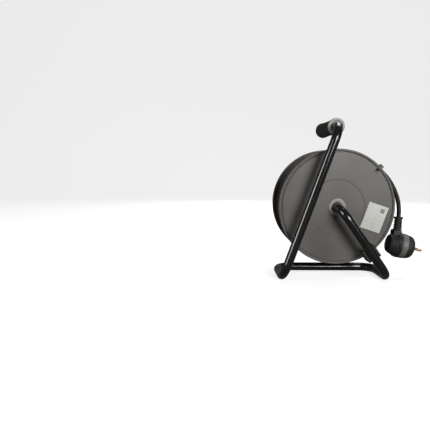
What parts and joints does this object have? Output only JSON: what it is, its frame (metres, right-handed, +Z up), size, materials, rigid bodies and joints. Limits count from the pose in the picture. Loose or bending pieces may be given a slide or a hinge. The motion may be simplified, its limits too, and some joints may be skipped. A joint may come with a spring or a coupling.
{
  "type": "extension cord reel",
  "caption": "Cable drum on a one-piece bent tube stand with carrying handle, socket panel with hinged lids, winding knob and mains plug lead.",
  "frame": {"origin": "on the floor, at the middle of the footprint of the stand and drum", "axes": "+Z up; the drum turns about the Y direction, its sockets and winding knob face +Y and the stand's legs are on the -Y side; +X is the side where the mains lead leaves the drum"},
  "size_m": [0.3079, 0.2025, 0.3329],
  "materials": {
    "frame_enamel": "high-gloss black enamel on bent steel tube",
    "grip_plastic": "black grip plastic with fine ribs",
    "collar_plastic": "light warm grey moulded plastic, satin",
    "dark_plastic": "near-black moulded plastic, fine grain",
    "lid_plastic": "near-black moulded plastic, satin",
    "drum_plastic": "grey-brown moulded plastic, satin",
    "insert_plastic": "dark grey moulded plastic",
    "label_film": "white printed film",
    "cable_rubber": "black rubber, dull",
    "plug_grey": "mid-grey rubber band",
    "zinc_steel": "bright zinc plate",
    "brass": "stamped brass",
    "nickel_brass": "nickel plate on brass",
    "red_plastic": "red moulded plastic"
  },
  "bodies": {
    "frame": {"frame_tube": "frame_enamel", "handle_grip": "grip_plastic", "grip_collar_rear": "collar_plastic", "grip_collar_front": "dark_plastic", "handle_end_cap": "dark_plastic", "axle_sleeve": "dark_plastic", "axle_washer": "zinc_steel", "axle_retaining_ring": "zinc_steel", "rim_guide": "dark_plastic", "free_cable": "cable_rubber", "plug_housing": "cable_rubber", "plug_band": "plug_grey", "plug_face": "cable_rubber", "plug_pin_1": "brass", "plug_pin_2": "brass", "plug_earth_strip_1": "nickel_brass", "plug_earth_strip_2": "nickel_brass", "plug_strain_relief": "cable_rubber"},
    "drum": {"rear_flange": "drum_plastic", "winding_core": "drum_plastic", "front_flange": "drum_plastic", "hub_collar": "collar_plastic", "hub_bush": "collar_plastic", "rim_cable_clip": "drum_plastic", "type_label": "label_film", "cable_coil": "cable_rubber", "cable_entry_bush": "dark_plastic", "socket_panel": "dark_plastic", "line_busbar": "brass", "neutral_busbar": "brass", "cutout_housing": "dark_plastic", "cutout_bezel": "dark_plastic", "knob_bolt": "zinc_steel", "knob_washer": "zinc_steel", "cord_clamp_seat": "drum_plastic", "cord_clamp_strap": "dark_plastic", "clamp_screw_1": "zinc_steel", "clamp_screw_2": "zinc_steel", "socket_insert_1": "insert_plastic", "earth_bracket_1": "nickel_brass", "lid_pin_1": "zinc_steel", "panel_screw_1": "zinc_steel", "socket_insert_2": "insert_plastic", "earth_bracket_2": "nickel_brass", "lid_pin_2": "zinc_steel", "panel_screw_2": "zinc_steel", "socket_insert_3": "insert_plastic", "earth_bracket_3": "nickel_brass", "lid_pin_3": "zinc_steel", "panel_screw_3": "zinc_steel", "socket_insert_4": "insert_plastic", "earth_bracket_4": "nickel_brass", "lid_pin_4": "zinc_steel", "panel_screw_4": "zinc_steel"},
    "knob": {"winding_knob": "grip_plastic"},
    "button": {"reset_button": "red_plastic"},
    "lid_1": {"socket_lid_1": "lid_plastic"},
    "lid_2": {"socket_lid_2": "lid_plastic"},
    "lid_3": {"socket_lid_3": "lid_plastic"},
    "lid_4": {"socket_lid_4": "lid_plastic"}
  },
  "joints": [
    {"name": "drum_spin", "type": "hinge", "parent": "frame", "child": "drum", "pos_m": [0.0015, 0, 0.151], "axis": [0, 1, 0], "continuous": true},
    {"name": "knob_spin", "type": "hinge", "parent": "drum", "child": "knob", "pos_m": [0.1045, 0.08675, 0.151], "axis": [0, 1, 0], "continuous": true},
    {"name": "reset_press", "type": "slide", "parent": "drum", "child": "button", "axis": [0, -1, 0], "range_m": [0, 0.0025], "stiffness_N_per_m": 400, "springref_m": -0.002},
    {"name": "lid_hinge_1", "type": "hinge", "parent": "drum", "child": "lid_1", "pos_m": [0.04272, 0.07595, 0.19222], "axis": [0.7071, 0, -0.7071], "range_deg": [0, 100], "stiffness_Nm_per_rad": 0.01, "springref_deg": -45.84},
    {"name": "lid_hinge_2", "type": "hinge", "parent": "drum", "child": "lid_2", "pos_m": [-0.03972, 0.07595, 0.19222], "axis": [0.7071, 0, 0.7071], "range_deg": [0, 100], "stiffness_Nm_per_rad": 0.01, "springref_deg": -45.84},
    {"name": "lid_hinge_3", "type": "hinge", "parent": "drum", "child": "lid_3", "pos_m": [-0.03972, 0.07595, 0.10978], "axis": [-0.7071, 0, 0.7071], "range_deg": [0, 100], "stiffness_Nm_per_rad": 0.01, "springref_deg": -45.84},
    {"name": "lid_hinge_4", "type": "hinge", "parent": "drum", "child": "lid_4", "pos_m": [0.04272, 0.07595, 0.10978], "axis": [-0.7071, 0, -0.7071], "range_deg": [0, 100], "stiffness_Nm_per_rad": 0.01, "springref_deg": -45.84}
  ]
}
